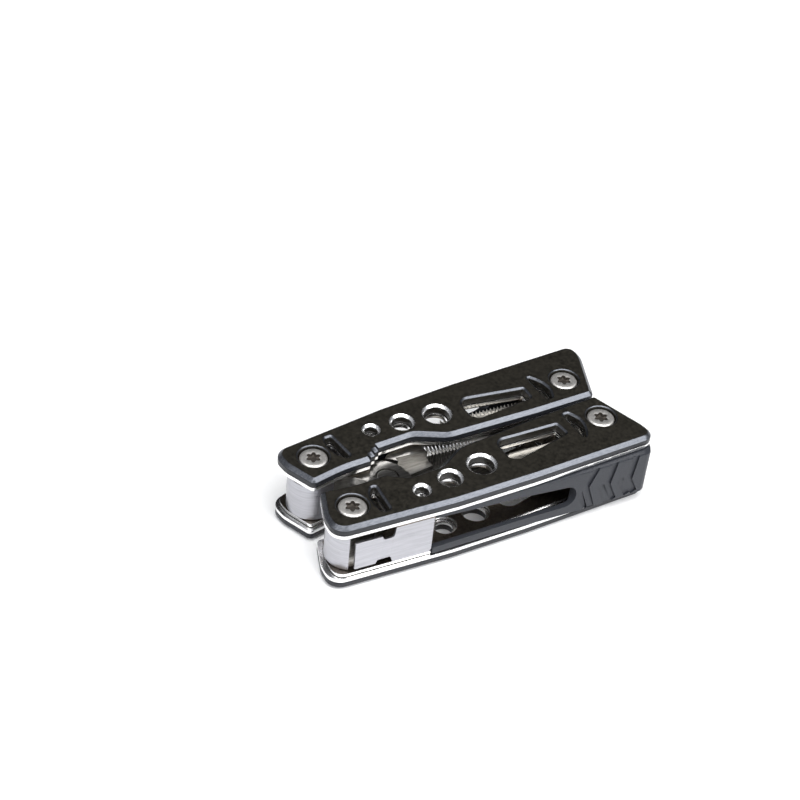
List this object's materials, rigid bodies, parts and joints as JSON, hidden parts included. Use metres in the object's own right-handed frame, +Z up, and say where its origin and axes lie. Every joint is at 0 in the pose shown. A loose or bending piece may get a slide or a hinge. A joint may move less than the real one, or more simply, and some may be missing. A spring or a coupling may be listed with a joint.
{
  "type": "multi tool",
  "caption": "Folded plier multi tool: toothed plier head between two swinging handles with black plates, side springs, ribbed grips and fold-out tools.",
  "frame": {"origin": "centre of the overall box, on the underside the folded tool lies on", "axes": "+X from the plier-tang end to the tool-pivot end, +Y towards the rear handle, +Z up through the plates"},
  "size_m": [0.0996, 0.0482, 0.022],
  "materials": {
    "black_anodised": "matte black anodising, fine grain",
    "polished_steel": "bright polished sheet",
    "satin_steel": "satin sheet",
    "screw_steel": "satin, warm grey",
    "tool_steel": "ground",
    "jaw_steel": "satin, ground flats",
    "slate_plastic": "satin moulded, slate grey"
  },
  "bodies": {
    "front_jaw": {"front_jaw": "jaw_steel", "jaw_rivet": "jaw_steel"},
    "rear_jaw": {"rear_jaw": "jaw_steel"},
    "front_handle": {"front_scale_top": "black_anodised", "front_scale_bottom": "black_anodised", "front_liner_top": "polished_steel", "front_liner_bottom": "polished_steel", "front_spring_frame": "satin_steel", "front_inner_plate": "satin_steel", "front_grip_insert": "slate_plastic", "front_tang_screw": "screw_steel", "front_tang_post": "screw_steel", "front_tool_screw": "screw_steel", "front_tool_post": "screw_steel", "front_tool_washer_1": "polished_steel", "front_tool_washer_2": "polished_steel", "front_tool_washer_3": "polished_steel"},
    "rear_handle": {"rear_scale_top": "black_anodised", "rear_scale_bottom": "black_anodised", "rear_liner_top": "polished_steel", "rear_liner_bottom": "polished_steel", "rear_spring_frame": "satin_steel", "rear_inner_plate": "satin_steel", "rear_grip_insert": "slate_plastic", "rear_tang_screw": "screw_steel", "rear_tang_post": "screw_steel", "rear_tool_screw": "screw_steel", "rear_tool_post": "screw_steel", "rear_tool_washer_1": "polished_steel", "rear_tool_washer_2": "polished_steel", "rear_tool_washer_3": "polished_steel"},
    "can_opener": {"can_opener": "tool_steel"},
    "knife_blade": {"knife_blade": "tool_steel"},
    "phillips_driver": {"phillips_driver": "tool_steel"},
    "small_flat_driver": {"small_flat_driver": "tool_steel"},
    "saw_blade": {"saw_blade": "tool_steel"},
    "file": {"file": "tool_steel"},
    "wide_flat_driver": {"wide_flat_driver": "tool_steel"},
    "awl": {"awl": "tool_steel"}
  },
  "joints": [
    {"name": "jaw_hinge", "type": "hinge", "parent": "front_jaw", "child": "rear_jaw", "pos_m": [-0.02434, 0, 0.011], "axis": [0, 0, 1], "range_deg": [0, 8.6]},
    {"name": "front_handle_swing", "type": "hinge", "parent": "front_jaw", "child": "front_handle", "pos_m": [-0.04134, -0.01048, 0.011], "axis": [0, 0, -1], "range_deg": [0, 170]},
    {"name": "rear_handle_swing", "type": "hinge", "parent": "rear_jaw", "child": "rear_handle", "pos_m": [-0.04134, 0.01048, 0.011], "axis": [0, 0, 1], "range_deg": [0, 170]},
    {"name": "can_opener_hinge", "type": "hinge", "parent": "front_handle", "child": "can_opener", "pos_m": [0.03866, -0.00901, 0.011], "axis": [0, 0, -1], "range_deg": [0, 180]},
    {"name": "knife_blade_hinge", "type": "hinge", "parent": "front_handle", "child": "knife_blade", "pos_m": [0.03866, -0.00901, 0.011], "axis": [0, 0, -1], "range_deg": [0, 180]},
    {"name": "phillips_driver_hinge", "type": "hinge", "parent": "front_handle", "child": "phillips_driver", "pos_m": [0.03866, -0.00901, 0.011], "axis": [0, 0, -1], "range_deg": [0, 180]},
    {"name": "small_flat_driver_hinge", "type": "hinge", "parent": "front_handle", "child": "small_flat_driver", "pos_m": [0.03866, -0.00901, 0.011], "axis": [0, 0, -1], "range_deg": [0, 180]},
    {"name": "saw_blade_hinge", "type": "hinge", "parent": "rear_handle", "child": "saw_blade", "pos_m": [0.03866, 0.00901, 0.011], "axis": [0, 0, 1], "range_deg": [0, 180]},
    {"name": "file_hinge", "type": "hinge", "parent": "rear_handle", "child": "file", "pos_m": [0.03866, 0.00901, 0.011], "axis": [0, 0, 1], "range_deg": [0, 180]},
    {"name": "wide_flat_driver_hinge", "type": "hinge", "parent": "rear_handle", "child": "wide_flat_driver", "pos_m": [0.03866, 0.00901, 0.011], "axis": [0, 0, 1], "range_deg": [0, 180]},
    {"name": "awl_hinge", "type": "hinge", "parent": "rear_handle", "child": "awl", "pos_m": [0.03866, 0.00901, 0.011], "axis": [0, 0, 1], "range_deg": [0, 180]}
  ],
  "couplings": [
    {"joint": "can_opener_hinge", "follows": "front_handle_swing", "ratio": 0.9},
    {"joint": "knife_blade_hinge", "follows": "front_handle_swing", "ratio": 0.28},
    {"joint": "phillips_driver_hinge", "follows": "front_handle_swing", "ratio": 0.8},
    {"joint": "small_flat_driver_hinge", "follows": "front_handle_swing", "ratio": 0.9},
    {"joint": "saw_blade_hinge", "follows": "rear_handle_swing", "ratio": 0.8},
    {"joint": "file_hinge", "follows": "rear_handle_swing", "ratio": 0.55},
    {"joint": "wide_flat_driver_hinge", "follows": "rear_handle_swing", "ratio": 0.7},
    {"joint": "awl_hinge", "follows": "rear_handle_swing", "ratio": 0.8}
  ]
}
